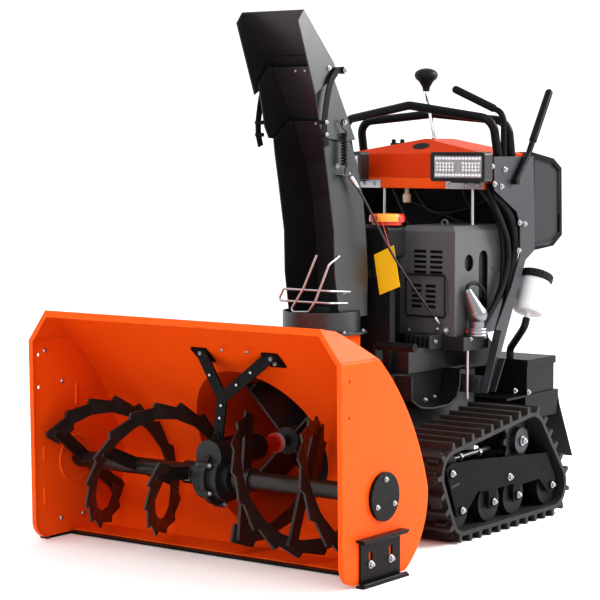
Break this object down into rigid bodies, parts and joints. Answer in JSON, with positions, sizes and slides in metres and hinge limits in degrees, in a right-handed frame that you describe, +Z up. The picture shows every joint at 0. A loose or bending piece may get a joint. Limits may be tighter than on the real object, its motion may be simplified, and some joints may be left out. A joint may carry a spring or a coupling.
{
  "type": "tracked snow blower",
  "caption": "Walk-behind two-stage snow blower on rubber tracks, with a turning, folding chute, serrated auger, engine, dash, lamps and handle hoops.",
  "frame": {"origin": "on the ground under the middle of the machine", "axes": "+X to the machine's left, -Y to the front where the auger is, +Z up"},
  "size_m": [0.974, 1.3788, 1.2932],
  "materials": {
    "orange_paint": "gloss powder coat",
    "orange_plastic": "satin moulded plastic",
    "black_paint": "satin powder coat",
    "black_cast": "satin black paint on castings",
    "grey_paint": "satin powder coat",
    "track_rubber": "dull moulded rubber",
    "wheel_plastic": "moulded nylon",
    "steel": "zinc plate",
    "black_plastic": "fine textured moulding",
    "cap_plastic": "translucent amber red",
    "bottle_plastic": "translucent white",
    "lamp": "black anodised with clear lenses",
    "chrome_rod": "bright plate",
    "zinc": "bright zinc plate",
    "silver_cap": "bright metal shield",
    "tag_card": "yellow card"
  },
  "bodies": {
    "undercarriage": {"cross_tube": "black_paint", "drive_axle": "steel", "track_frame_left": "grey_paint", "track_frame_right": "grey_paint", "track_left": "track_rubber", "track_right": "track_rubber", "track_wheels_left": "wheel_plastic", "track_wheels_right": "wheel_plastic"},
    "chassis": {"auger_brace": "black_paint", "auger_gearbox": "black_cast", "battery_box": "black_plastic", "battery_tray": "black_paint", "bearing_covers": "black_paint", "belt_cover": "black_plastic", "chassis_frame": "grey_paint", "chute_cable": "black_plastic", "chute_joystick": "chrome_rod", "chute_turner": "black_paint", "clutch_lever": "black_paint", "column_left": "grey_paint", "column_right": "grey_paint", "control_rods": "black_paint", "cross_braces": "black_paint", "dash_panel": "orange_plastic", "engine_block": "black_cast", "engine_cowl": "black_plastic", "engine_skirt": "black_plastic", "fuel_cap": "cap_plastic", "fuel_tank": "black_plastic", "hang_tag": "tag_card", "height_lever": "black_paint", "hoop_front": "black_paint", "hoop_rear": "black_paint", "housing_side_left": "orange_paint", "housing_side_right": "orange_paint", "housing_wrapper": "orange_paint", "impeller_drum": "orange_paint", "lamp_left": "lamp", "lamp_right": "lamp", "muffler": "black_plastic", "oil_bottle": "bottle_plastic", "oil_hose": "black_plastic", "plug_cap": "silver_cap", "rear_console": "black_plastic", "rear_flap": "track_rubber", "recoil_starter": "black_plastic", "scraper_bar": "black_paint", "skid_shoe_left": "black_paint", "skid_shoe_right": "black_paint", "transmission": "black_cast"},
    "chute": {"chute_channel": "black_paint", "chute_guard": "zinc"},
    "deflector_one": {"deflector_middle": "black_paint", "chute_linkage": "black_paint"},
    "deflector_two": {"deflector_upper": "black_paint"},
    "auger": {"auger_left": "black_paint", "auger_right": "black_paint"},
    "impeller_rotor": {"impeller": "black_paint", "impeller_shaft": "black_paint"}
  },
  "joints": [
    {"name": "housing_lift", "type": "hinge", "parent": "undercarriage", "child": "chassis", "pos_m": [0, 0.271, 0.21], "axis": [-1, 0, 0], "range_deg": [0, 8]},
    {"name": "chute_turn", "type": "hinge", "parent": "chassis", "child": "chute", "pos_m": [0, -0.114, 0.5], "axis": [0, 0, 1], "range_deg": [-100, 100], "deforming": ["chute_cable"]},
    {"name": "deflector_fold", "type": "hinge", "parent": "chute", "child": "deflector_one", "pos_m": [0, -0.139, 1.026], "axis": [1, 0, 0], "range_deg": [0, 35]},
    {"name": "deflector_tip_fold", "type": "hinge", "parent": "deflector_one", "child": "deflector_two", "pos_m": [0, -0.215, 1.157], "axis": [1, 0, 0], "range_deg": [0, 35]},
    {"name": "auger_spin", "type": "hinge", "parent": "chassis", "child": "auger", "pos_m": [0, -0.525, 0.19], "axis": [1, 0, 0], "continuous": true},
    {"name": "impeller_spin", "type": "hinge", "parent": "chassis", "child": "impeller_rotor", "pos_m": [0, -0.179, 0.242], "axis": [0, 1, 0], "continuous": true}
  ],
  "couplings": [
    {"joint": "deflector_tip_fold", "follows": "deflector_fold", "ratio": 1},
    {"joint": "impeller_spin", "follows": "auger_spin", "ratio": 10}
  ]
}
